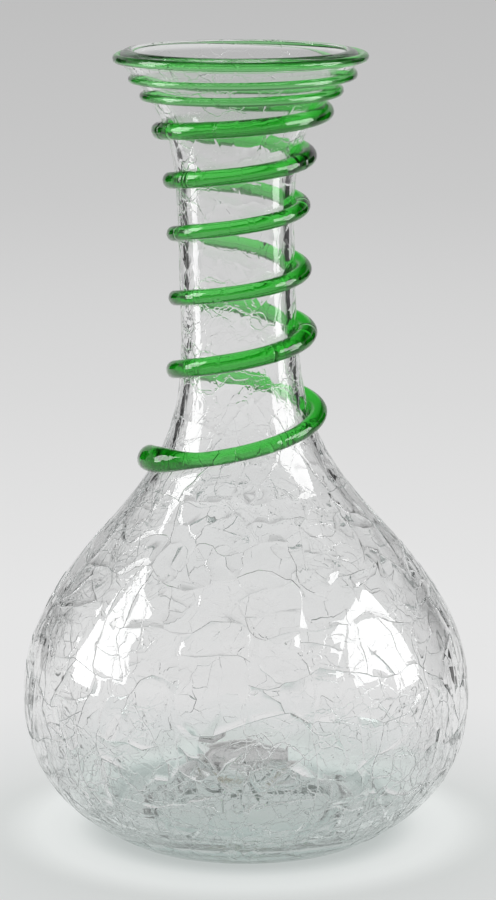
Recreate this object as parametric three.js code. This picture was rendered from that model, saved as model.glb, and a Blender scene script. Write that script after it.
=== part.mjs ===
// A blown crackle glass vase: a round crackled bulb with a kicked-up base, a tall narrow neck, a flared
// mouth, a green glass thread wound up the neck, and the scar of the rod that held it while it was made.
// Millimetres, +Z up. The origin is the middle of the base, on the surface that the vase stands on.

import * as THREE from 'three';
import { mergeVertices } from 'three/addons/utils/BufferGeometryUtils.js';

// Outside of the body, from the foot up
const FOOT_RADIUS = 42;          // outer edge of the ring that the vase rests on
const FOOT_RING_WIDTH = 8;       // flat width of that ring
const FOOT_SPREAD = 30;          // degrees above level at which the bulb leaves the foot
const BULB_RADIUS = 71.2;
const BULB_HEIGHT = 44;          // height of the widest point
const SHOULDER_RADIUS = 45.1;    // where the outline turns from bulging to hollow
const SHOULDER_HEIGHT = 98;
const SHOULDER_SLOPE = 48;       // degrees above level there
const NECK_RADIUS = 18.2;
const NECK_LOW = 170;            // the straight stretch of the neck
const NECK_HIGH = 188;
const MOUTH_RADIUS = 38.4;         // outermost edge of the lip
const MOUTH_SLOPE = 48;          // degrees above level at which the mouth reaches the lip
const HEIGHT = 250;              // resting plane to the top of the lip
const LIP_RADIUS = 2.1;          // rounding of the fire-polished lip

// Inside of the body
const WALL = 3;
const BASE_THICKNESS = 7;        // glass over the middle of the kick-up
const HEEL_THICKNESS = 8;        // glass over the resting ring
const KICK_HEIGHT = 20;          // how far the middle of the underside is pushed up
const KICK_SLOPE = 58;           // degrees above level at which the kick-up leaves the ring

// How long each curve of the outline keeps the direction of its ends, as shares of its chord
const FOOT_FULLNESS = [0.22, 0.54];
const BULB_FULLNESS = [0.35, 0.41];
const SHOULDER_FULLNESS = [0.43, 0.46];
const MOUTH_FULLNESS = [0.55, 0.41];
const KICK_FULLNESS = [0.4, 0.5];
const FLOOR_FULLNESS = [0.4, 0.42];
const HEEL_FULLNESS = [0.36, 0.4];

// The hand-made neck leans to the left, and the mouth comes part of the way back
const NECK_LEAN = 3.3;
const LEAN_STARTS = 80;
const LEAN_ENDS = 214;
const MOUTH_RETURN = 1.3;

// Main cracks of the bulb: a net of cells that drifts over the wall, with some of its edges left whole
const CRACKLE_LOW = 3;              // heights between which the net lies
const CRACKLE_HIGH = 113;
const CELLS_AROUND = 20;
const CELL_HEIGHT = 15;             // usual height of a cell, along the wall
const CRACK_DEPTH = 0.4;
const CRACK_HALF_WIDTH = 0.9;
const CRACKED_SHARE = 0.76;         // share of the net's edges that are cracked
const CRACK_SEED = 11;
// How far the net drifts round the widest part and along the wall: reach, waves round, length in mm, phase
const DRIFT_ROUND = [[2.4, 9, 9, 1], [1.6, 13, -7, 4]];
const DRIFT_ALONG = [[2.2, 8, -8, 2], [1.5, 15, 10, 5]];

// Green thread, laid from a blob low on the neck and wound up to the lip
const THREAD_START_HEIGHT = 120.6;  // middle of the blob
const THREAD_START_ANGLE = 186;     // degrees from +X, seen from above
const NECK_TURNS = 5.5;
const MOUTH_TURNS = 3;              // the closer turns under the lip
const MOUTH_RISE = 13.4;            // rise of those together
const LIP_MARGIN = 4;               // from the top of the lip down to the thread's end
const FIRST_RISE = 49.5;            // extra rise while the thread settles to its pitch
const SETTLING_TURNS = 2.5;
const CLOSING_POWER = 1.44;         // how soon the closer turns give up their rise
const BLOB_THICKNESS = 8;
const THREAD_THICKNESS = 4.9;
const MOUTH_THREAD_THICKNESS = 2.9; // where the closer turns begin
const LAST_THREAD_THICKNESS = 1.5;  // where the thread ends
const BLOB_TURNS = 0.25;            // over which the blob thins to the thread
const THREAD_SINK = 0.1;            // share of the thickness that is melted flat on the wall
const THREAD_LOPSIDED = 0.16;       // share by which it stands prouder on the right, less on the left
const THREAD_TAPER_TURNS = 0.15;    // the last stretch, which melts away

// Pontil scar, the rod's glass left on the underside
const SCAR_RADIUS = 13.5;
const SCAR_THICKNESS = 2.2;
const SCAR_ROUGHNESS = 0.7;         // depth of its broken face
const SCAR_EDGE_WAVES = [0.06, 0.04]; // share of the radius by which its edge wanders
const SCAR_THINNING = 0.5;          // share of the thickness lost at the edge

// Fit and fineness
const CLEARANCE = 0.3;              // between the body and the glass laid on it
const FACETS_PER_CELL = 4;          // a crack's two sides and the cell's two halves
const INSIDE_STEPS = 6;             // in each curve of the inside and of the underside
const OUTLINE_STEPS = 8;            // in each curve of the body's outline
const STEPS_PER_TURN = 30;
const THREAD_SIDES = 8;
const SCAR_SIDES = 24;
const SCAR_RINGS = 4;

const rad = THREE.MathUtils.degToRad;
const point = (r, z) => new THREE.Vector2(r, z);
const heading = (degrees) => point(Math.cos(rad(degrees)), Math.sin(rad(degrees)));

// Points along a curve that leaves one end and reaches the other in given directions, without its start
function bend(start, startHeading, end, endHeading, fullness, steps) {
  const chord = start.distanceTo(end);
  const leave = start.clone().addScaledVector(startHeading, chord * fullness[0]);
  const arrive = end.clone().addScaledVector(endHeading, -chord * fullness[1]);
  return new THREE.CubicBezierCurve(start, leave, arrive, end).getPoints(steps).slice(1);
}

// The outer outline from the foot up to the lip, with a given number of steps in each of its curves
function outerOutline(steps) {
  const foot = point(FOOT_RADIUS, 0);
  const widest = point(BULB_RADIUS, BULB_HEIGHT);
  const shoulder = point(SHOULDER_RADIUS, SHOULDER_HEIGHT);
  const neckLow = point(NECK_RADIUS, NECK_LOW);
  const neckHigh = point(NECK_RADIUS, NECK_HIGH);
  const lipEdge = lipCentre().addScaledVector(heading(MOUTH_SLOPE - 90), LIP_RADIUS);
  const up = heading(90);
  const overShoulder = heading(180 - SHOULDER_SLOPE);
  return [
    foot,
    ...bend(foot, heading(FOOT_SPREAD), widest, up, FOOT_FULLNESS, steps),
    ...bend(widest, up, shoulder, overShoulder, BULB_FULLNESS, steps),
    ...bend(shoulder, overShoulder, neckLow, up, SHOULDER_FULLNESS, steps),
    neckHigh,
    ...bend(neckHigh, up, lipEdge, heading(MOUTH_SLOPE), MOUTH_FULLNESS, steps),
  ];
}

function lipCentre() {
  return point(MOUTH_RADIUS - LIP_RADIUS, HEIGHT - LIP_RADIUS);
}

// Unit tangent of an outline at one of its points
function tangentAt(outline, i) {
  const before = outline[Math.max(i - 1, 0)];
  const after = outline[Math.min(i + 1, outline.length - 1)];
  return after.clone().sub(before).normalize();
}

// The inner wall above the widest point: the outer outline moved in by the wall, which grows to the
// lip's own thickness along the mouth
function innerWall(outline) {
  const upper = outline.filter((p) => p.y >= BULB_HEIGHT);
  return upper.map((p, i) => {
    const along = tangentAt(upper, i);
    const flare = THREE.MathUtils.clamp((p.y - NECK_HIGH) / (HEIGHT - LIP_RADIUS - NECK_HIGH), 0, 1);
    const wall = THREE.MathUtils.lerp(WALL, 2 * LIP_RADIUS, flare);
    return point(p.x - along.y * wall, p.y + along.x * wall);
  });
}

function lipRound() {
  const steps = 4;
  return Array.from({ length: steps - 1 }, (_, i) =>
    lipCentre().addScaledVector(heading(MOUTH_SLOPE - 90 + (180 * (i + 1)) / steps), LIP_RADIUS));
}

// The underside's outline from its middle out to the resting ring
function kickUp(steps) {
  const middle = point(0, KICK_HEIGHT);
  const ringInner = point(FOOT_RADIUS - FOOT_RING_WIDTH, 0);
  return [middle, ...bend(middle, heading(0), ringInner, heading(-KICK_SLOPE), KICK_FULLNESS, steps)];
}

// The inner floor, from the widest point down over the heel and up to the middle
function innerFloor() {
  const side = point(BULB_RADIUS - WALL, BULB_HEIGHT);
  const heel = point(FOOT_RADIUS, HEEL_THICKNESS);
  const middle = point(0, KICK_HEIGHT + BASE_THICKNESS);
  return [
    ...bend(side, heading(-90), heel, heading(180), HEEL_FULLNESS, 7),
    ...bend(heel, heading(180), middle, heading(180), FLOOR_FULLNESS, 6),
  ];
}

// How far the axis of the neck lies from the bulb's axis at a height
function leanAt(z) {
  const lean = THREE.MathUtils.smoothstep(z, LEAN_STARTS, LEAN_ENDS);
  const back = THREE.MathUtils.smoothstep(z, LEAN_ENDS, HEIGHT);
  return MOUTH_RETURN * back - NECK_LEAN * lean;
}

// A closed geometry with shared corners, without the collapsed faces at the axis
function sealed(geometry) {
  geometry.deleteAttribute('normal');
  geometry.deleteAttribute('uv');
  const merged = mergeVertices(geometry, 1e-4);
  const index = merged.getIndex().array;
  const kept = [];
  for (let i = 0; i < index.length; i += 3) {
    const [a, b, c] = index.slice(i, i + 3);
    if (a !== b && b !== c && c !== a) kept.push(a, b, c);
  }
  merged.setIndex(kept);
  merged.computeVertexNormals();
  return merged;
}

// Turns an outline about +Z
function turned(outline, sides) {
  const geometry = new THREE.LatheGeometry(outline, sides);
  geometry.rotateX(Math.PI / 2);
  return geometry;
}

// Moves every point of a geometry by a rule
function shaped(geometry, rule) {
  const place = geometry.getAttribute('position');
  const p = new THREE.Vector3();
  for (let i = 0; i < place.count; i += 1) {
    p.fromBufferAttribute(place, i);
    rule(p);
    place.setXYZ(i, p.x, p.y, p.z);
  }
  return geometry;
}

// Random shares from 0 to 1 that are the same for the same seed
function dice(seed) {
  let state = seed;
  return () => {
    state = (state * 16807) % 2147483647;
    return state / 2147483647;
  };
}

// The outside as a path from the foot: its place and outward direction at a distance along it, and the
// distance to a height
function wallAlong() {
  const fine = outerOutline(60);
  const lengths = [0];
  fine.slice(1).forEach((p, i) => lengths.push(lengths[i] + p.distanceTo(fine[i])));
  const at = (distance) => {
    const i = THREE.MathUtils.clamp(lengths.findIndex((length) => length >= distance), 1, fine.length - 1);
    const share = (distance - lengths[i - 1]) / (lengths[i] - lengths[i - 1]);
    const along = tangentAt(fine, i - 1).lerp(tangentAt(fine, i), share).normalize();
    return { place: fine[i - 1].clone().lerp(fine[i], share), out: point(along.y, -along.x) };
  };
  const distanceTo = (z) => {
    const i = Math.max(fine.findIndex((p) => p.y >= z), 1);
    return THREE.MathUtils.mapLinear(z, fine[i - 1].y, fine[i].y, lengths[i - 1], lengths[i]);
  };
  return { at, distanceTo };
}

// Which edges of the net are cracked: along its level lines, and along its upright lines
function crackedEdges(rows) {
  const roll = dice(CRACK_SEED);
  const net = () => Array.from({ length: rows + 1 }, () =>
    Array.from({ length: CELLS_AROUND }, () => roll() < CRACKED_SHARE));
  return { level: net(), upright: net() };
}

function drift(waves, angle, distance) {
  return waves.reduce((sum, [reach, round, length, phase]) =>
    sum + reach * Math.sin(round * angle + distance / length + phase), 0);
}

// Rings of points over the crackled wall, from its lower to its upper border
function crackledRings() {
  const wall = wallAlong();
  const start = wall.distanceTo(CRACKLE_LOW);
  const end = wall.distanceTo(CRACKLE_HIGH);
  const rows = Math.round((end - start) / CELL_HEIGHT);
  const cell = (end - start) / rows;
  const cellAngle = (2 * Math.PI) / CELLS_AROUND;
  const { level, upright } = crackedEdges(rows);
  const before = (k) => (k + CELLS_AROUND - 1) % CELLS_AROUND;
  const isOnCrack = (line, row, k, corner) => {
    if (line === null) return corner === 0 && upright[row][k];
    if (corner !== 0) return level[line][k];
    return level[line][k] || level[line][before(k)] || upright[line][k] || upright[line - 1][k];
  };
  const ring = (distance, row, line = null) => {
    const fade = THREE.MathUtils.smoothstep(distance, start, start + cell)
      * (1 - THREE.MathUtils.smoothstep(distance, end - cell, end));
    const radius = wall.at(distance).place.x;
    const side = THREE.MathUtils.lerp(1 / FACETS_PER_CELL, CRACK_HALF_WIDTH / radius / cellAngle, fade);
    const halfCell = (0.5 - side) * cellAngle;
    const allowance = (1 + 1 / Math.cos(halfCell / 2)) / 2;
    return Array.from({ length: CELLS_AROUND * FACETS_PER_CELL }, (_, i) => {
      const k = Math.floor(i / FACETS_PER_CELL);
      const corner = i % FACETS_PER_CELL;
      const angle = (k + [0, side, 0.5, 1 - side][corner]) * cellAngle;
      const drifted = angle + (fade * drift(DRIFT_ROUND, angle, distance)) / BULB_RADIUS;
      const { place, out } = wall.at(distance + fade * drift(DRIFT_ALONG, angle, distance));
      const depth = isOnCrack(line, row, k, corner) ? CRACK_DEPTH * fade : 0;
      const r = (place.x - out.x * depth) * allowance;
      return new THREE.Vector3(r * Math.cos(drifted), r * Math.sin(drifted), place.y - out.y * depth);
    });
  };
  const rings = [ring(start, 0)];
  for (let row = 0; row < rows; row += 1) {
    const low = start + row * cell;
    if (row > 0) rings.push(ring(low, row, row), ring(low + CRACK_HALF_WIDTH, row));
    rings.push(ring(low + cell / 2, row));
    if (row < rows - 1) rings.push(ring(low + cell - CRACK_HALF_WIDTH, row));
  }
  return [...rings, ring(end, rows - 1)];
}

// Rings of points about +Z through the points of an outline
function plainRings(outline, facets) {
  return outline.map((p) => Array.from({ length: facets }, (_, i) => {
    const angle = (i / facets) * 2 * Math.PI;
    return new THREE.Vector3(p.x * Math.cos(angle), p.x * Math.sin(angle), p.y);
  }));
}

function vaseBody() {
  const outline = outerOutline(OUTLINE_STEPS);
  const underside = kickUp(INSIDE_STEPS);
  const inside = [...innerWall(outerOutline(INSIDE_STEPS)).reverse(), ...innerFloor()];
  const facets = CELLS_AROUND * FACETS_PER_CELL;
  const rings = [
    ...plainRings([...underside.slice(1), outline[0]], facets),
    ...crackledRings(),
    ...plainRings([...outline.filter((p) => p.y > CRACKLE_HIGH + 2), ...lipRound()], facets),
    ...plainRings(inside.slice(0, -1), facets / 2),
  ];
  const onAxis = [underside[0], inside.at(-1)].map((p) => new THREE.Vector3(0, 0, p.y));
  return shaped(tube(rings, onAxis), (p) => {
    p.x += leanAt(p.z);
  });
}

// Place and tangent at a height on the body's outline
function wallAt(outline, z) {
  const i = THREE.MathUtils.clamp(outline.findIndex((p) => p.y >= z), 1, outline.length - 1);
  const share = (z - outline[i - 1].y) / (outline[i].y - outline[i - 1].y);
  return {
    place: outline[i - 1].clone().lerp(outline[i], share),
    along: tangentAt(outline, i - 1).lerp(tangentAt(outline, i), share).normalize(),
  };
}

// Height of the thread's middle after a number of turns
function threadHeight(turn) {
  const settled = (n) => 1 - Math.exp(-n / SETTLING_TURNS);
  const neckEnd = HEIGHT - LIP_MARGIN - MOUTH_RISE;
  const steadyRise = neckEnd - THREAD_START_HEIGHT - FIRST_RISE * settled(NECK_TURNS);
  const onNeck = Math.min(turn, NECK_TURNS);
  const closing = 1 - (1 - shareOfMouth(turn)) ** CLOSING_POWER;
  return THREAD_START_HEIGHT + FIRST_RISE * settled(onNeck)
    + (steadyRise * onNeck) / NECK_TURNS + MOUTH_RISE * closing;
}

// How much of the closer turns is behind, from 0 to 1
function shareOfMouth(turn) {
  return THREE.MathUtils.clamp((turn - NECK_TURNS) / MOUTH_TURNS, 0, 1);
}

function threadThickness(turn) {
  const blob = (BLOB_THICKNESS - THREAD_THICKNESS) * Math.exp(-turn / BLOB_TURNS);
  const thinning = THREE.MathUtils.smoothstep(turn, NECK_TURNS - 0.5, NECK_TURNS + 0.6);
  const inMouth = THREE.MathUtils.lerp(MOUTH_THREAD_THICKNESS, LAST_THREAD_THICKNESS, shareOfMouth(turn));
  return blob + THREE.MathUtils.lerp(THREAD_THICKNESS, inMouth, thinning);
}

// Share of its full size that the thread has near its two ends: a round start and a tapered end
function threadEnds(turn, turns) {
  const start = wallAt(outerOutline(OUTLINE_STEPS), THREAD_START_HEIGHT).place.x;
  const fromStart = turn * 2 * Math.PI * start;
  const round = Math.min(fromStart / (BLOB_THICKNESS / 2), 1);
  const taper = Math.min((turns - turn) / THREAD_TAPER_TURNS, 1);
  return Math.sqrt(1 - (1 - round) ** 2) * Math.sqrt(taper);
}

// One ring of points round the thread: a circle, flat where it is melted on the wall
function threadRing(outline, turn, size) {
  const { place, along } = wallAt(outline, threadHeight(turn));
  const out = point(along.y, -along.x);
  const radius = (threadThickness(turn) * size) / 2;
  const centre = radius * (1 - 2 * THREAD_SINK);
  const chordAllowance = 1 / Math.cos(Math.PI / STEPS_PER_TURN);
  const angle = rad(THREAD_START_ANGLE) + turn * 2 * Math.PI;
  const proud = 1 + THREAD_LOPSIDED * Math.cos(angle);
  return Array.from({ length: THREAD_SIDES }, (_, i) => {
    const round = ((i + 0.5) / THREAD_SIDES) * 2 * Math.PI;
    const off = proud * Math.max(centre - radius * Math.cos(round), 0) + CLEARANCE;
    const across = radius * Math.sin(round);
    const r = (place.x + out.x * off + along.x * across) * chordAllowance;
    const z = place.y + out.y * off + along.y * across;
    return new THREE.Vector3(r * Math.cos(angle) + leanAt(z), r * Math.sin(angle), z);
  });
}

function middleOf(ring) {
  return ring.reduce((sum, p) => sum.add(p), new THREE.Vector3()).divideScalar(ring.length);
}

// Joins rings of points into one closed tube, with a fan of faces over each end to its middle.
// A ring has as many points as the one before it, or half as many.
function tube(rings, middles = [rings[0], rings.at(-1)].map(middleOf)) {
  const points = [...rings.flat(), ...middles];
  const faces = [];
  let first = 0;
  for (let k = 0; k < rings.length - 1; k += 1) {
    const sides = rings[k].length;
    const next = first + sides;
    const halved = rings[k + 1].length < sides;
    for (let i = 0; i < sides; i += 1) {
      const [a, b] = [first + i, first + ((i + 1) % sides)];
      const [c, d] = halved
        ? [next + Math.floor(i / 2), next + (Math.floor((i + 1) / 2) % rings[k + 1].length)]
        : [next + i, next + ((i + 1) % sides)];
      faces.push(a, b, c);
      if (c !== d) faces.push(b, d, c);
    }
    first = next;
  }
  const [start, end] = [points.length - 2, points.length - 1];
  rings[0].forEach((_, i) => faces.push(start, (i + 1) % rings[0].length, i));
  rings.at(-1).forEach((_, i) => faces.push(end, first + i, first + ((i + 1) % rings.at(-1).length)));
  const geometry = new THREE.BufferGeometry().setFromPoints(points);
  geometry.setIndex(faces);
  geometry.computeVertexNormals();
  return geometry;
}

function threadRings() {
  const outline = outerOutline(OUTLINE_STEPS);
  const turns = NECK_TURNS + MOUTH_TURNS;
  const steps = Math.round(turns * STEPS_PER_TURN);
  const closeEnds = [0.15, 0.5];  // further rings inside the first and the last step, for round ends
  const stations = [
    ...closeEnds,
    ...Array.from({ length: steps - 1 }, (_, i) => i + 1),
    ...closeEnds.map((share) => steps - share).reverse(),
  ];
  return stations.map((station) => {
    const turn = (station / steps) * turns;
    return threadRing(outline, turn, threadEnds(turn, turns));
  });
}

// The least gap from one turn of the thread to the next
function leastGap(rings) {
  let least = Infinity;
  const apart = STEPS_PER_TURN / 2;
  for (let k = 0; k < rings.length; k += 1) {
    for (let m = k + apart; m < Math.min(k + 2 * STEPS_PER_TURN, rings.length); m += 1) {
      for (const p of rings[k]) {
        for (const q of rings[m]) least = Math.min(least, p.distanceTo(q));
      }
    }
  }
  return least;
}

// A rough disc under the middle of the kick-up: its top keeps to the underside, its face is broken
function pontilScar() {
  const roof = kickUp(24);
  const roofAt = (r) => {
    const i = Math.max(roof.findIndex((p) => p.x >= r), 1);
    const share = (r - roof[i - 1].x) / (roof[i].x - roof[i - 1].x);
    return THREE.MathUtils.lerp(roof[i - 1].y, roof[i].y, share) - CLEARANCE;
  };
  const edgeAt = (angle) => SCAR_RADIUS
    * (1 + SCAR_EDGE_WAVES[0] * Math.sin(3 * angle + 1) + SCAR_EDGE_WAVES[1] * Math.sin(5 * angle));
  const shares = Array.from({ length: SCAR_RINGS + 1 }, (_, i) => i / SCAR_RINGS);
  const face = shares.map((share) => point(share, 0));
  const top = shares.map((share) => point(share, 1)).reverse();
  return sealed(shaped(turned([...face, ...top], SCAR_SIDES), (p) => {
    const share = Math.hypot(p.x, p.y);
    const angle = Math.atan2(p.y, p.x);
    const isTop = p.z > 0.5;
    const reach = share * edgeAt(angle);
    const broken = share * SCAR_ROUGHNESS * Math.sin(2 * angle + 5 * share);
    const depth = SCAR_THICKNESS * (1 - SCAR_THINNING * share ** 4) + broken;
    p.set(reach * Math.cos(angle), reach * Math.sin(angle), roofAt(reach) - (isTop ? 0 : depth));
  }));
}

function piece(name, geometry, color, roughness, opacity) {
  const material = new THREE.MeshStandardMaterial({ color, roughness, metalness: 0, opacity });
  material.transparent = opacity < 1;
  const mesh = new THREE.Mesh(geometry, material);
  mesh.name = name;
  return mesh;
}

const rings = threadRings();
console.log(`least gap between turns of the thread: ${leastGap(rings).toFixed(2)} mm`);

const group = new THREE.Group();
group.add(piece('vase_body', vaseBody(), 0xe4efee, 0.04, 0.35));
group.add(piece('neck_thread', tube(rings), 0x2f9b4c, 0.05, 0.6));
group.add(piece('pontil_scar', pontilScar(), 0xd9e6e3, 0.35, 0.6));

export default group;
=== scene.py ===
"""A blown crackle glass vase with a green glass thread wound up its neck.

Metres, +Z up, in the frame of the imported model. The vase's own sizes are written in millimetres, and
finished() turns each piece to metres. The studio's sizes are in metres.
"""

import math
import random

import bmesh
import bpy
import numpy as np
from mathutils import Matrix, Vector, noise
from mathutils.kdtree import KDTree


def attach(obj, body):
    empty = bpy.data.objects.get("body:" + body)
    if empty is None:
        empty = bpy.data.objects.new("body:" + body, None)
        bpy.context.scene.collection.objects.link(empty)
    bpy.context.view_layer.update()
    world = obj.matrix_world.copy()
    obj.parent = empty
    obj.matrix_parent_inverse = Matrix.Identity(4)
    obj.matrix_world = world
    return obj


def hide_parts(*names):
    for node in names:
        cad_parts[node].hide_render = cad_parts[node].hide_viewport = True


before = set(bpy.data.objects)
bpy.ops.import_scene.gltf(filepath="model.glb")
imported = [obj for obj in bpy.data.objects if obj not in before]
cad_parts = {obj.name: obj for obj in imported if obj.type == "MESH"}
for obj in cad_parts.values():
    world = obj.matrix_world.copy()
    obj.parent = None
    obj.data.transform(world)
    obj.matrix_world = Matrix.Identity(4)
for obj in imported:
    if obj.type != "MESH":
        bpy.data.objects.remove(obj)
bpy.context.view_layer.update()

MM = 0.001
BODY = "root"
BODY_STEPS = 128        # points round the body
OUTLINE_STEP = 2.6      # length of its faces up the wall
WELD = 0.004            # points closer than this become one

# Outside of the vase, from the foot up; slopes are in degrees
FOOT_RADIUS = 42
FOOT_RING_WIDTH = 8
FOOT_SPREAD = 30
BULB_RADIUS = 71.2
BULB_HEIGHT = 44
SHOULDER_RADIUS = 45.1
SHOULDER_HEIGHT = 98
SHOULDER_SLOPE = 48
NECK_RADIUS = 18.2
NECK_LOW = 170
NECK_HIGH = 188
MOUTH_RADIUS = 37.3
MOUTH_SLOPE = 48
HEIGHT = 250
LIP_RADIUS = 2.7
LIP_STEP = 15           # degrees between the points round the lip
LIP_POINTS = 11

# Inside of the vase
WALL = 3
BASE_THICKNESS = 7
HEEL_THICKNESS = 8
KICK_HEIGHT = 20
KICK_SLOPE = 58

# How full each bend of the outline is where it leaves and where it arrives, as shares of its chord
HEEL_BEND = (0.22, 0.54)
BULB_BEND = (0.35, 0.41)
SHOULDER_BEND = (0.43, 0.46)
NECK_BEND = (0.3, 0.3)
MOUTH_BEND = (0.55, 0.41)
INNER_HEEL_BEND = (0.36, 0.4)
INNER_FLOOR_BEND = (0.4, 0.42)
KICK_BEND = (0.4, 0.5)

# The neck leans to the left, and the mouth comes part of the way back
NECK_LEAN = 3.3
LEAN_STARTS = 80
LEAN_ENDS = 214
MOUTH_RETURN = 1.3

# Crackle
CRACKLE_FROM = 3
CRACKLE_TO = 236
NET_LOW = 3             # the net of main cracks on the bulb, as in the solid
NET_HIGH = 113
CELLS_AROUND = 20
CELL_HEIGHT = 15
CRACKED_SHARE = 0.76    # share of the net's edges that are cracked
DRIFT_ROUND = ((2.4, 9, 9, 1), (1.6, 13, -7, 4))    # reach, waves round, length up the wall, start
DRIFT_ALONG = ((2.2, 8, -8, 2), (1.5, 15, 10, 5))
HEEL_CELL = 11          # usual width of a cell
BULB_CELL = 15
NECK_CELL = 13
HEEL_CELLS_END = (12, 34)       # heights between which the heel's cells give way to the bulb's
NECK_CELLS_START = (105, 150)   # and the bulb's to the neck's
WHOLE_CELLS = (0.45, 1.7)       # smallest and largest cell that stays whole, against the usual area
NECK_CELL_SQUAT = 0.6   # how much a cell's height counts against its width on the neck
SPLIT_TURN = 0.36       # spread of the turn of a split out of the square, in radians
SPLIT_OFFSET = 0.45     # spread of a split off the cell's middle, as a share of its reach
CRACK_WIDTH = 0.11      # of each side of a crack
CRACK_DEPTH = 0.09
CELL_RISE = 0.06        # how far a cell stands up between its cracks
CELL_EDGE = 3.2         # how far in from its cracks a cell has risen
CELL_TILT = 0.008       # slope of a cell against the smooth wall
CELL_WAVES = (7, 0.05)  # length and height of the soft waves over the cells
NECK_CALM = 0.1         # share of the relief that is left on the neck
CRACK_SEED = 11

# How the cracks run crooked: length of the waves, reach, share on the bulb, share on the neck, and
# a shift that keeps the waves apart
WANDERS = (
    (9, 4, 0, 1, (0, 0, 0)),
    (6, 2, 1, 0.45, (7, 3, 5)),
    (2.2, 0.7, 1, 1, (1, 8, 2)),
)
NECK_WANDER_START = (110, 150)

# Soft waves of the inner wall: length and height, and the heights between which they start and end
INNER_WAVES = ((13, 0.3), (5.5, 0.05))
INNER_WAVES_START = (8, 24)
INNER_WAVES_CALM = (95, 145)
INNER_WAVES_END = (232, 244)

# Green thread: height of its middle and its thickness at each half turn, left and right of the neck
THREAD_HEIGHTS = (
    120.3, 136.1, 149.3, 161.7, 172.2, 181.6, 192.5, 201.6, 209.4,
    217.6, 225.5, 232.1, 236.0, 238.2, 241.2, 243.2, 247.2, 247.6, 248.6,
)
THREAD_THICKNESSES = (
    4.9, 5.2, 5.7, 6.1, 4.9, 5.0, 4.8, 4.9, 5.2,
    5.3, 5.5, 4.6, 3.0, 2.8, 2.4, 2.6, 2.9, 2.8, 1.3,
)
THREAD_TURNS = (len(THREAD_HEIGHTS) - 1) / 2
THREAD_START_ANGLE = 186
THREAD_START_RADIUS = 25
ROUNDED_START = 2.2     # length over which its blunt start rounds off
DRAWN_END = 0.3         # turn over which its end is drawn out to nothing
NECK_TURNS = 5.5
BLOB_SWELL = 3.7        # how much thicker it starts
BLOB_TURNS = 0.16
STRETCHED_TURN = 7.75
STRETCHED_SPAN = (0.1, 0.24)    # turns to each side where it is wholly, and no longer, drawn out
STRETCHED_LIFT = 2.3
STRETCHED_THINNING = 0.85
THREAD_UNEVEN = 0.05    # share of its thickness
THREAD_LOPSIDED = 0.16  # how much prouder it stands on the right, and flatter on the left
THREAD_SUNK = 0.12      # how deep its flat side is fused into the wall
THREAD_SIDES = 22
RINGS_PER_TURN = 72
THREAD_CRACKS = 22
THREAD_CRACK_DEPTH = 0.16
THREAD_CRACK_TURNS = 0.0012     # half of a crack's width
THREAD_SEED = 5

# Pontil scar
SCAR_RADIUS = 13.5
SCAR_THICKNESS = 2.2
SCAR_GAP = 0.15         # between its flat side and the kick-up
SCAR_LEAST = 0.3        # depth that its lumps leave everywhere
SCAR_STEPS = 60
SCAR_RAGGED = 0.14      # share of its radius
SWIRL_LENGTH = 4.5


def smoothstep(x, low, high):
    t = min(max((x - low) / (high - low), 0), 1)
    return t * t * (3 - 2 * t)


def mix(a, b, share):
    return a + (b - a) * share


def heading(degrees):
    return np.array([math.cos(math.radians(degrees)), math.sin(math.radians(degrees))])


def bend(start, start_heading, end, end_heading, fullness, steps=200):
    """Points along a curve that leaves and arrives in given directions, without its start."""
    start = np.array(start, float)
    end = np.array(end, float)
    chord = np.linalg.norm(end - start)
    leave = start + start_heading * chord * fullness[0]
    arrive = end - end_heading * chord * fullness[1]
    t = np.linspace(0, 1, steps + 1)[1:, None]
    return (1 - t) ** 3 * start + 3 * (1 - t) ** 2 * t * leave + 3 * (1 - t) * t * t * arrive + t**3 * end


def lengths_along(points):
    """Distance of each point from the first, along the line through all of them."""
    return np.concatenate([[0], np.cumsum(np.linalg.norm(np.diff(points, axis=0), axis=1))])


LIP_CENTRE = np.array([MOUTH_RADIUS - LIP_RADIUS, HEIGHT - LIP_RADIUS])


def lip_point(turned):
    """A point of the lip, some degrees on from where the outside meets it."""
    return LIP_CENTRE + heading(MOUTH_SLOPE - 90 + turned) * LIP_RADIUS


def outer_outline(step):
    """Radius and height of the outside from the foot to the lip, a point about every step."""
    up = heading(90)
    over = heading(180 - SHOULDER_SLOPE)
    foot = (FOOT_RADIUS, 0)
    widest = (BULB_RADIUS, BULB_HEIGHT)
    shoulder = (SHOULDER_RADIUS, SHOULDER_HEIGHT)
    neck_low = (NECK_RADIUS, NECK_LOW)
    neck_high = (NECK_RADIUS, NECK_HIGH)
    fine = np.vstack([
        [foot],
        bend(foot, heading(FOOT_SPREAD), widest, up, HEEL_BEND),
        bend(widest, up, shoulder, over, BULB_BEND),
        bend(shoulder, over, neck_low, up, SHOULDER_BEND),
        bend(neck_low, up, neck_high, up, NECK_BEND, 20),
        bend(neck_high, up, lip_point(0), heading(MOUTH_SLOPE), MOUTH_BEND),
    ])
    along = lengths_along(fine)
    places = np.linspace(0, along[-1], round(along[-1] / step) + 1)
    return np.column_stack([np.interp(places, along, fine[:, k]) for k in (0, 1)])


# The outside up to 105 degrees round the lip, finely divided
FINE_OUTLINE = np.vstack([outer_outline(0.5), [lip_point(turned) for turned in range(5, 110, 5)]])
FINE_ALONG = lengths_along(FINE_OUTLINE)
FINE_TANGENT = np.gradient(FINE_OUTLINE, FINE_ALONG, axis=0)


def along_at(z):
    """Distance along the outside from the foot to a height."""
    return np.interp(z, FINE_OUTLINE[:, 1], FINE_ALONG)


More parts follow.
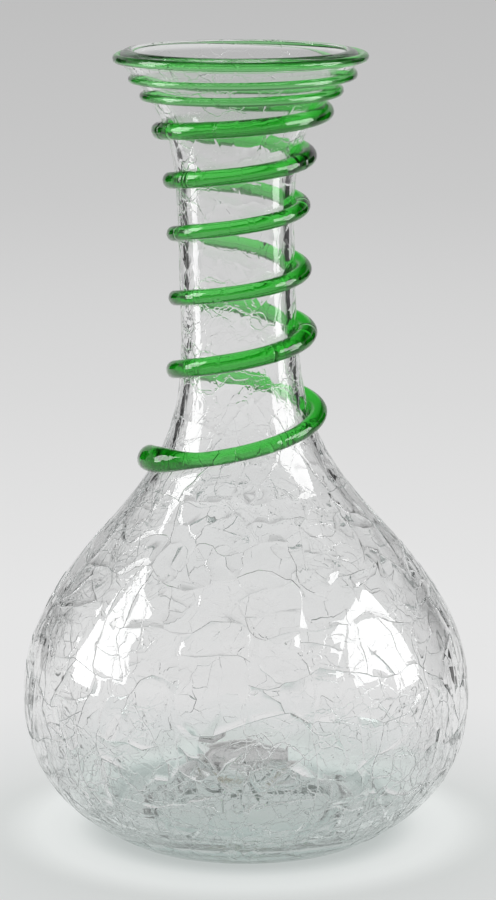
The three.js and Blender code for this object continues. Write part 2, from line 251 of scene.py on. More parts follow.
def wall_at(along):
    """Radius and height of the outside, and its unit tangent, at a distance from the foot."""
    place = np.array([np.interp(along, FINE_ALONG, FINE_OUTLINE[:, k]) for k in (0, 1)])
    tangent = np.array([np.interp(along, FINE_ALONG, FINE_TANGENT[:, k]) for k in (0, 1)])
    return place, tangent / np.linalg.norm(tangent)


def lean_at(z):
    back = smoothstep(z, LEAN_ENDS, HEIGHT)
    return MOUTH_RETURN * back - NECK_LEAN * smoothstep(z, LEAN_STARTS, LEAN_ENDS)


def inner_outline(outside):
    """The inner wall from the lip down to the middle of the floor."""
    upper = outside[outside[:, 1] >= BULB_HEIGHT]
    tangent = np.gradient(upper, axis=0)
    tangent /= np.linalg.norm(tangent, axis=1)[:, None]
    flare = np.clip((upper[:, 1] - NECK_HIGH) / (HEIGHT - LIP_RADIUS - NECK_HIGH), 0, 1)
    wall = mix(WALL, 2 * LIP_RADIUS, flare**5)
    inward = np.column_stack([-tangent[:, 1], tangent[:, 0]]) * wall[:, None]
    side = (BULB_RADIUS - WALL, BULB_HEIGHT)
    heel = (FOOT_RADIUS, HEEL_THICKNESS)
    middle = (0, KICK_HEIGHT + BASE_THICKNESS)
    return np.vstack([
        (upper + inward)[::-1],
        bend(side, heading(-90), heel, heading(180), INNER_HEEL_BEND, 26),
        bend(heel, heading(180), middle, heading(180), INNER_FLOOR_BEND, 20),
    ])


def kick_up(steps):
    """The underside from its middle to the inner edge of the resting ring."""
    middle = (0, KICK_HEIGHT)
    ring = (FOOT_RADIUS - FOOT_RING_WIDTH, 0)
    rest = bend(middle, heading(0), ring, heading(-KICK_SLOPE), KICK_BEND, steps)
    return np.vstack([[middle], rest])


def stray(place):
    """A smooth random vector that is the same at a place in every run."""
    shifts = ((0, 0, 0), (41.3, 7.7, 19.1), (5.9, 63.2, 28.6))
    return Vector([noise.noise(place + Vector(shift)) for shift in shifts])


# Modelling helpers


def placed(name, data):
    """A new object of the scene that holds a mesh, a lamp or a camera."""
    obj = bpy.data.objects.new(name, data)
    bpy.context.scene.collection.objects.link(obj)
    return obj


def edit(obj, mode="FACE"):
    """Enters edit mode on one object with nothing selected."""
    if bpy.context.mode != "OBJECT":
        bpy.ops.object.mode_set(mode="OBJECT")
    bpy.ops.object.select_all(action="DESELECT")
    obj.select_set(True)
    bpy.context.view_layer.objects.active = obj
    bpy.ops.object.mode_set(mode="EDIT")
    bpy.ops.mesh.select_mode(type=mode)
    bpy.ops.mesh.select_all(action="DESELECT")


def leave_edit():
    bpy.ops.object.mode_set(mode="OBJECT")


def spun(name, outline, steps):
    """A surface of revolution about Z, spun from a chain of edges through (radius, height) points."""
    mesh = bpy.data.meshes.new(name)
    points = [(r, 0, z) for r, z in outline]
    mesh.from_pydata(points, [(i, i + 1) for i in range(len(points) - 1)], [])
    obj = placed(name, mesh)
    edit(obj, "VERT")
    bpy.ops.mesh.select_all(action="SELECT")
    bpy.ops.mesh.spin(steps=steps, angle=2 * math.pi, center=(0, 0, 0), axis=(0, 0, 1))
    bpy.ops.mesh.select_all(action="SELECT")
    bpy.ops.mesh.remove_doubles(threshold=0.001)
    leave_edit()
    return obj


def joined(pieces, name):
    """One object from several that share border points, with its faces turned outwards."""
    bpy.ops.object.select_all(action="DESELECT")
    for piece in pieces:
        piece.select_set(True)
    bpy.context.view_layer.objects.active = pieces[0]
    bpy.ops.object.join()
    obj = bpy.context.object
    obj.name = name
    edit(obj, "VERT")
    bpy.ops.mesh.select_all(action="SELECT")
    bpy.ops.mesh.remove_doubles(threshold=WELD)
    bpy.ops.mesh.normals_make_consistent(inside=False)
    leave_edit()
    return obj


def smoothed(obj, degrees):
    """Turns a closed piece's faces outwards and shades it smooth up to an angle."""
    edit(obj)
    bpy.ops.mesh.select_all(action="SELECT")
    bpy.ops.mesh.normals_make_consistent(inside=False)
    leave_edit()
    bpy.ops.object.shade_smooth_by_angle(angle=math.radians(degrees))


def finished(obj, material, node):
    """Turns a piece to metres, gives it its material, and makes it ride and stand for its CAD node."""
    for v in obj.data.vertices:
        v.co *= MM
    obj.data.materials.clear()
    obj.data.materials.append(material)
    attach(obj, BODY)
    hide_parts(node)
    return obj


# Vase body


def usual_cell(z):
    """Usual width of a crackle cell at a height."""
    low = mix(HEEL_CELL, BULB_CELL, smoothstep(z, *HEEL_CELLS_END))
    return mix(low, NECK_CELL, smoothstep(z, *NECK_CELLS_START))


def by_place(face):
    """A key that sorts faces the same way in every run."""
    return tuple(round(c, 3) for c in face.calc_center_median())


def any_way(rng):
    return Vector((rng.gauss(0, 1), rng.gauss(0, 1), rng.gauss(0, 1)))


def split_plane(faces, rng):
    """The plane that splits a cell across its longest way, or nothing where the cell is small enough."""
    places = np.array([f.calc_center_median() for f in faces])
    areas = np.array([f.calc_area() for f in faces])
    centre = (places * areas[:, None]).sum(axis=0) / areas.sum()
    if areas.sum() < usual_cell(centre[2]) ** 2 * rng.uniform(*WHOLE_CELLS):
        return None
    spread = places - centre
    spread[:, 2] *= mix(1, NECK_CELL_SQUAT, smoothstep(centre[2], *NECK_CELLS_START))
    longest = np.linalg.eigh((spread * areas[:, None]).T @ spread)[1][:, 2]
    # an eigenvector has no sign of its own, so one is chosen
    longest *= np.sign(longest @ (0.31, 0.47, 0.83))
    normal = sum((Vector(f.normal) * a for f, a in zip(faces, areas)), Vector())
    # a cell that reaches round the vase has no side of its own, and is split any way
    if normal.length < 0.3 * areas.sum():
        normal = any_way(rng)
    normal.normalize()
    across = Vector(longest)
    across = (across - normal * across.dot(normal)).normalized()
    turn = rng.gauss(0, SPLIT_TURN)
    plane = across * math.cos(turn) + normal.cross(across) * math.sin(turn)
    reach = float(np.std(spread @ longest))
    return Vector(centre) + across * reach * rng.gauss(0, SPLIT_OFFSET), plane


def dice(seed):
    """Random shares that are the same for the same seed."""
    state = seed
    while True:
        state = state * 16807 % 2147483647
        yield state / 2147483647


def net_cells():
    """The net's rows of cells, numbered so that cells with a whole edge between them share a number."""
    start, end = along_at(NET_LOW), along_at(NET_HIGH)
    rows = round((end - start) / CELL_HEIGHT)
    roll = dice(CRACK_SEED)

    def cracked_edges():
        return [[next(roll) < CRACKED_SHARE for _ in range(CELLS_AROUND)] for _ in range(rows + 1)]

    level = cracked_edges()
    upright = cracked_edges()
    number = [[1 + row * CELLS_AROUND + k for k in range(CELLS_AROUND)] for row in range(rows)]

    def merge(a, b):
        for line in number:
            line[:] = [b if n == a else n for n in line]

    for row in range(rows):
        for k in range(CELLS_AROUND):
            if row and not level[row][k]:
                merge(number[row][k], number[row - 1][k])
            if not upright[row][k]:
                merge(number[row][k], number[row][k - 1])
    return number, start, (end - start) / rows


def drift(waves, angle, along):
    """How far the net's lines run off their straight course at a place of the wall."""
    return sum(
        reach * math.sin(turns * angle + along / length + phase)
        for reach, turns, length, phase in waves
    )


def crackle_cells(obj, rng):
    """Cracks the wall: the bulb's net first, then each cell splits across its longest way."""
    edit(obj)
    bm = bmesh.from_edit_mesh(obj.data)
    cell = bm.faces.layers.int.new("cell")
    number, start, height = net_cells()
    neck = 1 + len(number) * CELLS_AROUND
    for f in bm.faces:
        place = f.calc_center_median()
        row = math.floor((along_at(place.z) - start) / height)
        k = math.floor(math.atan2(place.y, place.x) / (2 * math.pi) * CELLS_AROUND) % CELLS_AROUND
        f[cell] = neck if row >= len(number) else number[max(row, 0)][k]
        if not CRACKLE_FROM < place.z < CRACKLE_TO:
            f[cell] = 0
    waiting = sorted({f[cell] for f in bm.faces} - {0})
    last = neck
    while waiting:
        own = waiting.pop(0)
        bm = bmesh.from_edit_mesh(obj.data)
        cell = bm.faces.layers.int["cell"]
        faces = sorted((f for f in bm.faces if f[cell] == own), key=by_place)
        cut = split_plane(faces, rng)
        if cut is None:
            continue
        point, plane = cut
        bpy.ops.mesh.select_all(action="DESELECT")
        for f in faces:
            f.select_set(True)
        bpy.ops.mesh.bisect(plane_co=point, plane_no=plane, threshold=0.12)
        bm = bmesh.from_edit_mesh(obj.data)
        cell = bm.faces.layers.int["cell"]
        pieces = [f for f in bm.faces if f[cell] == own]
        beyond = [f for f in pieces if (f.calc_center_median() - point).dot(plane) > 0]
        if 0 < len(beyond) < len(pieces):
            last += 1
            for f in beyond:
                f[cell] = last
            waiting += [own, last]
    leave_edit()


def wander(obj):
    """Lets the straight cuts drift and wander over the wall, so that the cracks run crooked."""
    start, end = along_at(NET_LOW), along_at(NET_HIGH)
    for v in obj.data.vertices:
        fade = smoothstep(v.co.z, CRACKLE_FROM, CRACKLE_FROM + 5)
        fade *= 1 - smoothstep(v.co.z, CRACKLE_TO - 8, CRACKLE_TO)
        if fade == 0:
            continue
        neck = smoothstep(v.co.z, *NECK_WANDER_START)
        shift = Vector()
        for length, reach, on_bulb, on_neck, apart in WANDERS:
            shift += stray(v.co / length + Vector(apart)) * reach * mix(on_bulb, on_neck, neck)
        shift *= fade
        angle = math.atan2(v.co.y, v.co.x)
        along = along_at(v.co.z)
        on_net = smoothstep(along, start, start + CELL_HEIGHT)
        on_net *= 1 - smoothstep(along, end - CELL_HEIGHT, end)
        round_wall = on_net * drift(DRIFT_ROUND, angle, along) / BULB_RADIUS
        up_wall = on_net * drift(DRIFT_ALONG, angle, along)
        place, _ = wall_at(along)
        angle += round_wall + (shift.y * math.cos(angle) - shift.x * math.sin(angle)) / place[0]
        place, _ = wall_at(along + up_wall + shift.z)
        v.co = Vector((place[0] * math.cos(angle), place[0] * math.sin(angle), place[1]))


def cut_cracks(obj):
    """Opens a fine V along every edge between two cells, and marks its points."""
    edit(obj, "EDGE")
    bm = bmesh.from_edit_mesh(obj.data)
    cell = bm.faces.layers.int["cell"]
    for e in bm.edges:
        owners = {f[cell] for f in e.link_faces}
        e.select_set(len(owners) == 2 and 0 not in owners)
    bpy.ops.mesh.edge_split(type="EDGE")
    bpy.ops.mesh.select_mode(type="FACE")
    bm = bmesh.from_edit_mesh(obj.data)
    cell = bm.faces.layers.int["cell"]
    for f in bm.faces:
        f.select_set(f[cell] > 0)
    bpy.ops.mesh.inset(thickness=CRACK_WIDTH, depth=0, use_even_offset=False, use_boundary=True)
    bm = bmesh.from_edit_mesh(obj.data)
    cell = bm.faces.layers.int["cell"]
    crack = bm.verts.layers.int.new("crack")
    for e in bm.edges:
        if len(e.link_faces) == 1 and e.link_faces[0][cell]:
            for v in e.verts:
                v[crack] = 1
    bpy.ops.mesh.select_all(action="SELECT")
    bpy.ops.mesh.remove_doubles(threshold=WELD)
    leave_edit()


def shape_cells(obj, rng):
    """Sinks the cracks and lets each cell stand up between them, with a slight tilt of its own."""
    bm = bmesh.new()
    bm.from_mesh(obj.data)
    bm.normal_update()
    cell = bm.faces.layers.int["cell"]
    crack = bm.verts.layers.int["crack"]
    lows = [v for v in bm.verts if v[crack]]
    tree = KDTree(len(lows))
    for k, v in enumerate(lows):
        tree.insert(v.co, k)
    tree.balance()
    members = {}
    for f in bm.faces:
        if f[cell]:
            members.setdefault(f[cell], []).append(f)
    wave_length, wave_height = CELL_WAVES
    moves = {}
    for own in sorted(members):
        faces = members[own]
        centre = sum((f.calc_center_median() for f in faces), Vector()) / len(faces)
        tilt = any_way(rng) * CELL_TILT
        calm = mix(1, NECK_CALM, smoothstep(centre.z, *NECK_CELLS_START))
        for v in {v for f in faces for v in f.verts if not v[crack]}:
            _, _, gap = tree.find(v.co)
            risen = CELL_RISE * (1 - math.exp(-gap / CELL_EDGE * 2))
            bump = risen + tilt.dot(v.co - centre) + noise.noise(v.co / wave_length) * wave_height
            moves[v] = v.normal * bump * calm
    for v in lows:
        # some stretches of a crack are deep and some nearly healed
        depth = CRACK_DEPTH * max(0.15, 0.95 + 1.1 * noise.noise(v.co / 9))
        depth *= mix(1, 2 * NECK_CALM, smoothstep(v.co.z, *NECK_CELLS_START))
        moves[v] = -v.normal * depth
    for v, move in moves.items():
        v.co += move
    bm.to_mesh(obj.data)
    bm.free()


def inner_waves(obj):
    """Lets the inner wall follow the crackle in long soft waves."""
    bm = bmesh.new()
    bm.from_mesh(obj.data)
    bm.normal_update()
    for v in bm.verts:
        side = smoothstep(v.co.z, *INNER_WAVES_START) * (1 - smoothstep(v.co.z, *INNER_WAVES_END))
        calm = mix(1, NECK_CALM, smoothstep(v.co.z, *INNER_WAVES_CALM))
        wave = sum(noise.noise(v.co / length) * height for length, height in INNER_WAVES)
        v.co += v.normal * wave * side * calm
    bm.to_mesh(obj.data)
    bm.free()


def vase_body(material):
    """The shell of one blown gather: crackled wall, foot, mouth and inside, welded into one."""
    outside = outer_outline(OUTLINE_STEP)
    first = int(np.argmax(outside[:, 1] > CRACKLE_FROM - OUTLINE_STEP))
    last = int(np.argmax(outside[:, 1] > CRACKLE_TO + 2))
    lip = [lip_point(LIP_STEP * k) for k in range(1, LIP_POINTS + 1)]
    crackled = spun("crackled_wall", outside[first:last + 1], BODY_STEPS)
    rng = random.Random(CRACK_SEED)
    crackle_cells(crackled, rng)
    wander(crackled)
    cut_cracks(crackled)
    shape_cells(crackled, rng)
    foot = spun("foot", np.vstack([kick_up(18), outside[:first + 1]]), BODY_STEPS)
    mouth = spun("mouth", np.vstack([outside[last:], lip]), BODY_STEPS)
    inside = spun("inside", np.vstack([lip[-1:], inner_outline(outside)]), BODY_STEPS)
    inner_waves(inside)
    obj = joined([crackled, foot, mouth, inside], "vase_body_crackled")
    for v in obj.data.vertices:
        v.co.x += lean_at(v.co.z)
    bpy.ops.object.shade_smooth_by_angle(angle=math.radians(40))
    return finished(obj, material, "vase_body")


# Green thread


def at_turn(values, turn):
    """A smooth curve through values given at each half turn."""
    last = len(values) - 1
    half = min(max(2 * turn, 0), last - 0.001)
    k = int(half)
    t = half - k
    before, start, end, after = (values[min(max(k + d, 0), last)] for d in (-1, 0, 1, 2))
    leaving = (end - before) / 2
    reaching = (after - start) / 2
    ease = t * t * (3 - 2 * t)
    return mix(start, end, ease) + leaving * t * (1 - t) ** 2 - reaching * (1 - t) * t * t


def stretched(turn):
    """How far the thread is drawn out thin and close under the rim, at the back of a turn."""
    return 1 - smoothstep(abs(turn - STRETCHED_TURN), *STRETCHED_SPAN)


def thread_height(turn):
    return at_turn(THREAD_HEIGHTS, turn) + STRETCHED_LIFT * stretched(turn)


def thread_thickness(turn):
    blob = BLOB_SWELL * (1 - smoothstep(turn, BLOB_TURNS * 0.3, BLOB_TURNS))
    uneven = 1 + THREAD_UNEVEN * noise.noise(Vector((turn * 5, 0.3, 0.7)))
    return (blob + at_turn(THREAD_THICKNESSES, turn)) * uneven * (1 - STRETCHED_THINNING * stretched(turn))


def thread_radius(turn):
    """Half the thickness, which rounds off at the blunt start and dwindles at the end."""
    travelled = turn * 2 * math.pi * THREAD_START_RADIUS
    start = min((travelled + 0.25) / ROUNDED_START, 1)
    end = min((THREAD_TURNS - turn + 0.002) / DRAWN_END, 1)
    size = (1 - (1 - start) ** 3) ** 0.3 * math.sqrt(end)
    return thread_thickness(turn) * size / 2


def thread_stations(rng):
    """(turn, sunk) along the thread: even steps, with three close ones for each hair crack across it."""
    steps = round(THREAD_TURNS * RINGS_PER_TURN)
    stations = [(THREAD_TURNS * k / steps, 0) for k in range(steps + 1)]
    for _ in range(THREAD_CRACKS):
        place = rng.uniform(0.15, NECK_TURNS)
        stations += [(place - THREAD_CRACK_TURNS, 0), (place, 1), (place + THREAD_CRACK_TURNS, 0)]
    return sorted(stations)


def thread_ring(turn, sunk):
    """Points round the thread at a turn, flat where it lies on the wall."""
    place, tangent = wall_at(along_at(thread_height(turn)))
    out = np.array([tangent[1], -tangent[0]])
    radius = thread_radius(turn)
    groove = THREAD_CRACK_DEPTH if sunk else 0
    angle = math.radians(THREAD_START_ANGLE) + turn * 2 * math.pi
    proud = 1 + THREAD_LOPSIDED * math.cos(angle)
    ring = []
    for i in range(THREAD_SIDES):
        around = 2 * math.pi * (i + 0.5) / THREAD_SIDES
        off = proud * (radius * 0.8 - (radius - groove) * math.cos(around))
        off = max(off, -THREAD_SUNK)
        r, z = place + out * off + tangent * (radius - groove) * math.sin(around)
        ring.append((r * math.cos(angle) + lean_at(z), r * math.sin(angle), z))
    return ring


def green_thread(material):
    """One thread from the blob at the neck's root to its fading end behind the rim."""
    points = []
    stations = thread_stations(random.Random(THREAD_SEED))
    for turn, sunk in stations:
        points += thread_ring(turn, sunk)
    faces = []
    for k in range(len(stations) - 1):
        for i in range(THREAD_SIDES):
            a = k * THREAD_SIDES + i
            b = k * THREAD_SIDES + (i + 1) % THREAD_SIDES
            faces.append((a, b, b + THREAD_SIDES, a + THREAD_SIDES))
    faces.append(tuple(reversed(range(THREAD_SIDES))))
    faces.append(tuple(range(len(points) - THREAD_SIDES, len(points))))
    mesh = bpy.data.meshes.new("neck_thread_trailed")
    mesh.from_pydata(points, [], faces)
    obj = placed("neck_thread_trailed", mesh)
    smoothed(obj, 50)
    return finished(obj, material, "neck_thread")


# Pontil scar


def pontil_scar(material):
    """The torn patch of the rod's glass: flat side fused to the kick-up, lumpy and swirled below."""
    surface = kick_up(SCAR_STEPS)
    top = [p + (0, -SCAR_GAP) for p in surface if p[0] <= SCAR_RADIUS]
    low = [
        p - (0, SCAR_THICKNESS * math.sqrt(1 - (p[0] / SCAR_RADIUS) ** 2))
        for p in top[:0:-2] + top[:1]
    ]
    obj = spun("pontil_scar_torn", np.vstack([top, low]), 96)
    for v in obj.data.vertices:
        radius = math.hypot(v.co.x, v.co.y)
        roof = np.interp(radius, surface[:, 0], surface[:, 1])
        depth = roof - v.co.z
        edge = 1 + SCAR_RAGGED * noise.noise(Vector((v.co.x, v.co.y, 0)) / 9)
        swirl = Vector((v.co.x, v.co.y, 0)) / SWIRL_LENGTH
        swirl += stray(swirl * 0.6) * 1.6
        lumps = 0.8 * noise.noise(swirl) + 0.35 * noise.noise(swirl * 2.3)
        if depth > SCAR_LEAST:
            v.co.z = roof - max(depth * (1 + lumps), SCAR_LEAST)
        v.co.x *= edge
        v.co.y *= edge
    smoothed(obj, 60)
    return finished(obj, material, "pontil_scar")


# Materials

# Height in millimetres and the tint of the glass there: aqua at the foot, clear from the heel up. The aqua
# of the thick glass is made deeper at the foot as painted shade, for the shaded floor seen through it
HEEL_TINT_AND_SHADE = ((0, "CFE0DC"), (4, "DCE9E6"), (9, "F1F7F5"), (16, "FBFDFD"), (24, "FFFFFF"))
HAIR_CRACK_DEPTH = 0.00007      # metres
HAIR_CRACK_WANDER = 0.006       # metres


def linear(hex_colour):
    """A linear RGBA from an sRGB hex string."""
    values = [int(hex_colour[i:i + 2], 16) / 255 for i in (0, 2, 4)]
    return tuple(v / 12.92 if v <= 0.04045 else ((v + 0.055) / 1.055) ** 2.4 for v in values) + (1,)


def new_material(name):
    material = bpy.data.materials.new(name)
    material.use_nodes = True
    material.node_tree.nodes.clear()
    return material


def add(tree, kind, links=(), **settings):
    """Adds a node, sets its properties and inputs by name, and links (socket, input) pairs to it."""
    node = tree.nodes.new(kind)
    for key, value in settings.items():
        if hasattr(node, key):
            setattr(node, key, value)
        else:
            node.inputs[key.replace("_", " ")].default_value = value
    for source, target in links:
        tree.links.new(source, node.inputs[target])
    return node


def tone_ramp(tree, share, tones, power=1):
    """The tone at a share of the way from the first to the last place of (place, tone) pairs."""
    ramp = add(tree, "ShaderNodeValToRGB", [(share, "Fac")])
    stops = ramp.color_ramp.elements
    while len(stops) < len(tones):
        stops.new(1.0)
    for stop, (place, tone) in zip(stops, tones):
        stop.position = (place / tones[-1][0]) ** power
        stop.color = linear(tone)
    return ramp.outputs["Color"]


def fine_crackle(tree):
    """A bump of hair cracks between the cut ones, in patches and denser towards the heel."""
    place = add(tree, "ShaderNodeTexCoord").outputs["Object"]
    crooked = add(tree, "ShaderNodeTexNoise", [(place, "Vector")], Scale=160.0, Detail=3.0)
    off = add(tree, "ShaderNodeVectorMath", [(crooked.outputs["Color"], 0)], operation="MULTIPLY")
    off.inputs[1].default_value = (HAIR_CRACK_WANDER, HAIR_CRACK_WANDER, HAIR_CRACK_WANDER)
    bent = add(tree, "ShaderNodeVectorMath", [(place, 0), (off.outputs[0], 1)], operation="ADD")
    cells = add(
        tree, "ShaderNodeTexVoronoi", [(bent.outputs[0], "Vector")],
        feature="DISTANCE_TO_EDGE", Scale=120.0,
    )
    line = add(
        tree, "ShaderNodeMapRange", [(cells.outputs["Distance"], "Value")],
        interpolation_type="SMOOTHSTEP", From_Min=0.0, From_Max=0.035, To_Min=-1.0, To_Max=0.0,
    )
    patches = add(tree, "ShaderNodeTexNoise", [(place, "Vector")], Scale=38.0, Detail=1.0)
    height = add(tree, "ShaderNodeSeparateXYZ", [(place, 0)]).outputs["Z"]
    heel = add(
        tree, "ShaderNodeMapRange", [(height, "Value")],
        From_Min=0.012, From_Max=0.04, To_Min=0.3, To_Max=0.0,
    )
    share = add(
        tree, "ShaderNodeMath", [(patches.outputs["Fac"], 0), (heel.outputs[0], 1)], operation="ADD"
    )
    here = add(
        tree, "ShaderNodeMapRange", [(share.outputs[0], "Value")],
        From_Min=0.46, From_Max=0.66, To_Min=0.0, To_Max=1.0,
    )
    depth = add(tree, "ShaderNodeMath", [(line.outputs[0], 0), (here.outputs[0], 1)], operation="MULTIPLY")
    bump = add(
        tree, "ShaderNodeBump", [(depth.outputs[0], "Height")], Strength=1.0, Distance=HAIR_CRACK_DEPTH
    )
    return bump.outputs[0]


def heel_tint_and_shade(tree):
    """The aqua of the thick glass round the foot, which fades up the heel, deepened at the foot into
    painted shade.
    """
    place = add(tree, "ShaderNodeTexCoord").outputs["Object"]
    height = add(tree, "ShaderNodeSeparateXYZ", [(place, 0)]).outputs["Z"]
    share = add(
        tree, "ShaderNodeMapRange", [(height, "Value")], From_Min=0.0, From_Max=HEEL_TINT_AND_SHADE[-1][0] * MM,
    )
    return tone_ramp(tree, share.outputs[0], HEEL_TINT_AND_SHADE)


def glass(name, absorbed, density, shadow, roughness=0.0, relief=None, tint=None):
    """Clear glass, coloured by its depth, with a shadow of its own tone."""
    material = new_material(name)
    tree = material.node_tree
    shell = add(
        tree, "ShaderNodeBsdfPrincipled",
        Base_Color=linear("FFFFFF"), Roughness=roughness, IOR=1.52, Transmission_Weight=1.0,
    )
    if relief:
        tree.links.new(relief(tree), shell.inputs["Normal"])
    if tint:
        tree.links.new(tint(tree), shell.inputs["Base Color"])
    clear = add(tree, "ShaderNodeBsdfTransparent", Color=linear(shadow))
    path = add(tree, "ShaderNodeLightPath")
    lamp = add(
        tree, "ShaderNodeMath", [(path.outputs["Is Shadow Ray"], 0), (path.outputs["Is Diffuse Ray"], 1)],
        operation="MAXIMUM",
    )
    seen = add(
        tree, "ShaderNodeMixShader",
        [(lamp.outputs[0], 0), (shell.outputs[0], 1), (clear.outputs[0], 2)],
    )
    depth = add(tree, "ShaderNodeVolumeAbsorption", Color=linear(absorbed), Density=density)
    add(tree, "ShaderNodeOutputMaterial", [(seen.outputs[0], "Surface"), (depth.outputs[0], "Volume")])
    return material


def crackle_glass():
    """Soda-lime glass, blown and crackled by quenching: clear, with aqua where it is thick, deepened at
    the foot into painted shade.
    """
    return glass(
        "crackled_soda_glass", absorbed="DCF7F1", density=1.7, shadow="EEF4F3",
        relief=fine_crackle, tint=heel_tint_and_shade,
    )


def green_glass():
    """Green soda glass, trailed hot: clear, deep emerald where it is thick."""
    return glass("green_trailed_glass", absorbed="18EC34", density=480, shadow="7FD692")


def scar_glass():
    """The rod's glass, torn off: clear, a little brown from the iron, and dull."""
    return glass(
        "torn_pontil_glass", absorbed="E8DFC4", density=60, shadow="E0E6E2", roughness=0.03,
    )


# Stage, in metres

# Radius and the tone painted on the paper there, without the lamps' share: painted shadow under and round
# the foot, a painted glow of light just outside it, and a painted pool of light that falls off to grey
FLOOR_LIGHT_AND_SHADOW_TONES = (
    (0.0, "B6B8B7"), (0.04, "B2B5B4"), (0.045, "B0B3B2"), (0.05, "C0C3C2"), (0.056, "D4D6D5"),
    (0.066, "D8DAD9"), (0.08, "C4C6C5"), (0.12, "CCCDCD"), (0.17, "D2D2D2"), (0.31, "D1D1D1"),
    (0.5, "CBCBCB"), (0.75, "C5C5C5"), (1.09, "C1C1C1"), (1.57, "BBBBBB"), (2.14, "B8B8B8"),
    (2.87, "B5B5B5"), (4.0, "B1B1B1"),
)
FLOOR_STRETCH = 0.4     # power that gives the near tones more of the ramp
FLOOR_RADIUS = 8
PAINTED_SHADE_IN_FRONT = 0.94     # painted shade: the paper in front of the vase against the paper behind it
LAMP_SHARE = 0.25       # share of the lamps' light that the paper sends back

# Name, first and last angle from +X, distance, lower and upper edge
SOFTBOXES = (
    ("softbox_left", 170, 200, 0.6, 0.2, 0.62),
    ("softbox_left_foot", 176, 190, 0.35, 0.08, 0.2),
    ("softbox_right", -34, 9, 0.6, 0.2, 0.56),
    ("softbox_right_foot", -14, 2, 0.35, 0.08, 0.2),
)
FLAGS = (
    ("flag_left", 123, 147, 1.0, 0.0, 0.45),
    ("flag_right", 16, 55, 1.0, 0.0, 0.45),
)
SOFTBOX_STRENGTH = 7
FLAG_STRENGTH = 0.02

LAMPS = (("lamp_left", -0.9), ("lamp_right", 0.9))
LAMP_WIDTH = 0.5
LAMP_LENGTH = 0.8
LAMP_WATTS = 4
LAMP_BEHIND = 0.5
LAMP_HEIGHT = 0.9
LAMP_AIM = 0.1          # height that the lamps point at

ROOM_TONE = "BEBEBE"
CEILING_STARTS = (0.3, 0.5)     # upward share of a direction where the ceiling starts and is full
CEILING_MIRRORED = 0.06         # level of the dark ceiling in the glass's surface
CEILING_THROUGH = 0.35          # and through the glass
PLAIN_LIGHT = 0.6               # the room's light on the object


def in_reflections(tree, glow, else_shader):
    """One shader for what the camera and the glass see, another for the light on the object."""
    path = add(tree, "ShaderNodeLightPath")
    first = add(
        tree, "ShaderNodeMath", [(path.outputs["Is Camera Ray"], 0), (path.outputs["Is Glossy Ray"], 1)],
        operation="MAXIMUM",
    )
    seen = add(
        tree, "ShaderNodeMath", [(first.outputs[0], 0), (path.outputs["Is Transmission Ray"], 1)],
        operation="MAXIMUM",
    )
    return add(
        tree, "ShaderNodeMixShader",
        [(seen.outputs[0], 0), (else_shader.outputs[0], 1), (glow.outputs[0], 2)],
    )


def floor_material():
    """Pale paper sweep: a pool of light round the vase that falls off to grey, with the vase's shadow."""
    material = new_material("pale_paper_sweep")
    tree = material.node_tree
    place = add(tree, "ShaderNodeTexCoord").outputs["Object"]
    far = add(tree, "ShaderNodeVectorMath", [(place, 0)], operation="LENGTH")
    share = add(tree, "ShaderNodeMath", [(far.outputs["Value"], 0)], operation="DIVIDE")
    share.inputs[1].default_value = FLOOR_LIGHT_AND_SHADOW_TONES[-1][0]
    even = add(tree, "ShaderNodeMath", [(share.outputs[0], 0)], operation="POWER")
    even.inputs[1].default_value = FLOOR_STRETCH
    # painted light and shadow on the paper, by distance from the vase's axis
    tone = tone_ramp(tree, even.outputs[0], FLOOR_LIGHT_AND_SHADOW_TONES, FLOOR_STRETCH)
    front = add(tree, "ShaderNodeSeparateXYZ", [(place, 0)]).outputs["Y"]
    # painted shade over the paper in front of the vase
    front_shade = add(
        tree, "ShaderNodeMapRange", [(front, "Value")],
        interpolation_type="SMOOTHSTEP", From_Min=-0.09, From_Max=0.08, To_Min=PAINTED_SHADE_IN_FRONT, To_Max=1.0,
    )
    paper = add(tree, "ShaderNodeEmission", [(tone, "Color"), (front_shade.outputs[0], "Strength")])
    matte = add(tree, "ShaderNodeBsdfDiffuse", Color=(LAMP_SHARE, LAMP_SHARE, LAMP_SHARE, 1))
    both = add(tree, "ShaderNodeAddShader", [(paper.outputs[0], 0), (matte.outputs[0], 1)])
    add(tree, "ShaderNodeOutputMaterial", [(both.outputs[0], "Surface")])
    return material


def panel(name, first, last, distance, low, high, strength, through=False):
    """An upright studio panel between two angles from +X, seen only in the glass."""
    bpy.ops.object.select_all(action="DESELECT")
    bpy.ops.mesh.primitive_plane_add(size=1)
    obj = bpy.context.object
    obj.name = name
    for v, (angle, z) in zip(obj.data.vertices, ((first, low), (last, low), (first, high), (last, high))):
        turn = math.radians(angle)
        v.co = Vector((math.cos(turn) * distance, math.sin(turn) * distance, z))
    material = new_material(name)
    tree = material.node_tree
    light = add(tree, "ShaderNodeEmission", Strength=strength)
    add(tree, "ShaderNodeOutputMaterial", [(light.outputs[0], "Surface")])
    obj.data.materials.append(material)
    obj.visible_camera = False
    obj.visible_diffuse = False
    obj.visible_shadow = False
    obj.visible_transmission = through


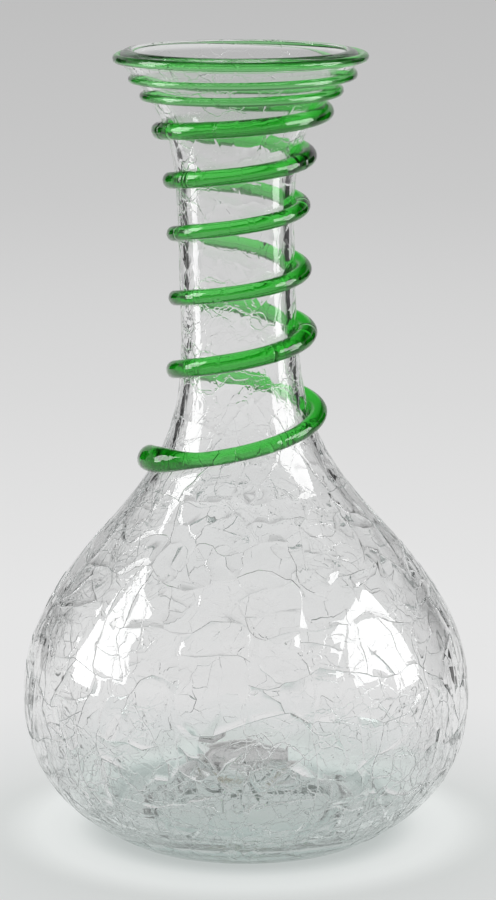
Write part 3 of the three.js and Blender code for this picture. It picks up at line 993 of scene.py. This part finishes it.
def studio_world():
    """A grey room whose upper part is dark, as the glass shows it, over a plain level of light."""
    world = bpy.data.worlds.new("studio")
    world.use_nodes = True
    tree = world.node_tree
    tree.nodes.clear()
    way = add(tree, "ShaderNodeTexCoord").outputs["Generated"]
    up = add(tree, "ShaderNodeSeparateXYZ", [(way, 0)]).outputs["Z"]
    starts, full = CEILING_STARTS
    ceiling = add(
        tree, "ShaderNodeMapRange", [(up, "Value")], interpolation_type="SMOOTHSTEP",
        From_Min=starts, From_Max=full, To_Min=1.0, To_Max=CEILING_MIRRORED,
    )
    through = add(tree, "ShaderNodeLightPath").outputs["Is Transmission Ray"]
    lift = add(tree, "ShaderNodeMath", [(through, 0)], operation="MULTIPLY")
    lift.inputs[1].default_value = CEILING_THROUGH
    level = add(
        tree, "ShaderNodeMath", [(ceiling.outputs[0], 0), (lift.outputs[0], 1)], operation="MAXIMUM",
    )
    seen = add(tree, "ShaderNodeBackground", [(level.outputs[0], "Strength")], Color=linear(ROOM_TONE))
    plain = add(tree, "ShaderNodeBackground", Color=linear(ROOM_TONE), Strength=PLAIN_LIGHT)
    both = in_reflections(tree, seen, plain)
    add(tree, "ShaderNodeOutputWorld", [(both.outputs[0], "Surface")])
    bpy.context.scene.world = world


def studio():
    """The paper sweep, the panels that the glass mirrors, two lamps from behind and the room."""
    bpy.ops.object.select_all(action="DESELECT")
    bpy.ops.mesh.primitive_circle_add(vertices=96, radius=FLOOR_RADIUS, fill_type="NGON")
    floor = bpy.context.object
    floor.name = "floor"
    floor.data.materials.append(floor_material())

    for softbox in SOFTBOXES:
        panel(*softbox, SOFTBOX_STRENGTH)
    for flag in FLAGS:
        panel(*flag, FLAG_STRENGTH, through=True)

    for name, x in LAMPS:
        lamp = bpy.data.lights.new(name, "AREA")
        lamp.shape = "RECTANGLE"
        lamp.size = LAMP_WIDTH
        lamp.size_y = LAMP_LENGTH
        lamp.energy = LAMP_WATTS
        obj = placed(name, lamp)
        obj.location = (x, LAMP_BEHIND, LAMP_HEIGHT)
        obj.rotation_euler = (Vector((0, 0, LAMP_AIM)) - obj.location).to_track_quat("-Z", "Y").to_euler()
        obj.visible_glossy = False
        obj.visible_transmission = False
    studio_world()


# Camera, fitted to the vase's rim, foot and outline
FOCAL_PIXELS = 3543.6
FRAME_HEIGHT_PIXELS = 900
CAMERA_DISTANCE = 1.1
CAMERA_HEIGHT = 0.345
CAMERA_TILT = math.radians(11.4)
CAMERA_RIGHT = 0.0006


def camera():
    cam = bpy.data.cameras.new("camera")
    cam.sensor_width = 36
    cam.lens = FOCAL_PIXELS / FRAME_HEIGHT_PIXELS * cam.sensor_width
    obj = placed("camera", cam)
    obj.location = (CAMERA_RIGHT, -CAMERA_DISTANCE, CAMERA_HEIGHT)
    obj.rotation_euler = (math.pi / 2 - CAMERA_TILT, 0, 0)
    bpy.context.scene.camera = obj


camera()
studio()
vase_body(crackle_glass())
green_thread(green_glass())
pontil_scar(scar_glass())

scene = bpy.context.scene
scene.view_settings.view_transform = "Standard"
# light crosses many glass walls before it leaves the vase
scene.cycles.max_bounces = 28
scene.cycles.glossy_bounces = 20
scene.cycles.transmission_bounces = 28
scene.cycles.transparent_max_bounces = 28
